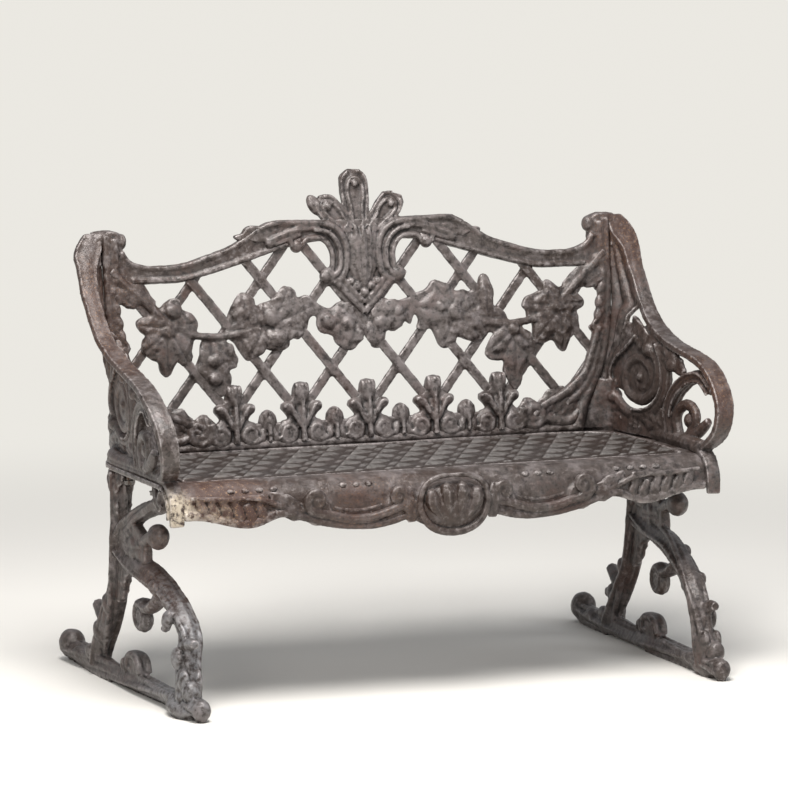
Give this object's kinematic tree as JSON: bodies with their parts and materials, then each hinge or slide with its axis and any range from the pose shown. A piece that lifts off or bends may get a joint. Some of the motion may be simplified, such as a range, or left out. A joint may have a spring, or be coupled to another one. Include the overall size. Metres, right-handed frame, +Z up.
{
  "type": "patio bench",
  "caption": "Cast iron patio bench with a latticed vine back, woven seat, scalloped apron, scrolled arms and branch-shaped legs.",
  "frame": {"origin": "on the ground under the middle of the bench", "axes": "+X to the right of someone facing the bench, +Y to the back, +Z up"},
  "size_m": [1.1146, 0.6896, 0.9023],
  "materials": {
    "aged_iron": "weathered",
    "fastener_steel": "dull"
  },
  "bodies": {
    "root": {"back_panel": "aged_iron", "seat_panel": "aged_iron", "left_arm": "aged_iron", "right_arm": "aged_iron", "left_leg": "aged_iron", "right_leg": "aged_iron", "corner_bolts": "fastener_steel", "corner_washers": "fastener_steel", "back_foot_bolts": "fastener_steel", "back_foot_washers": "fastener_steel", "back_foot_nuts": "fastener_steel", "arm_ear_bolts": "fastener_steel", "arm_ear_washers": "fastener_steel"}
  },
  "joints": []
}
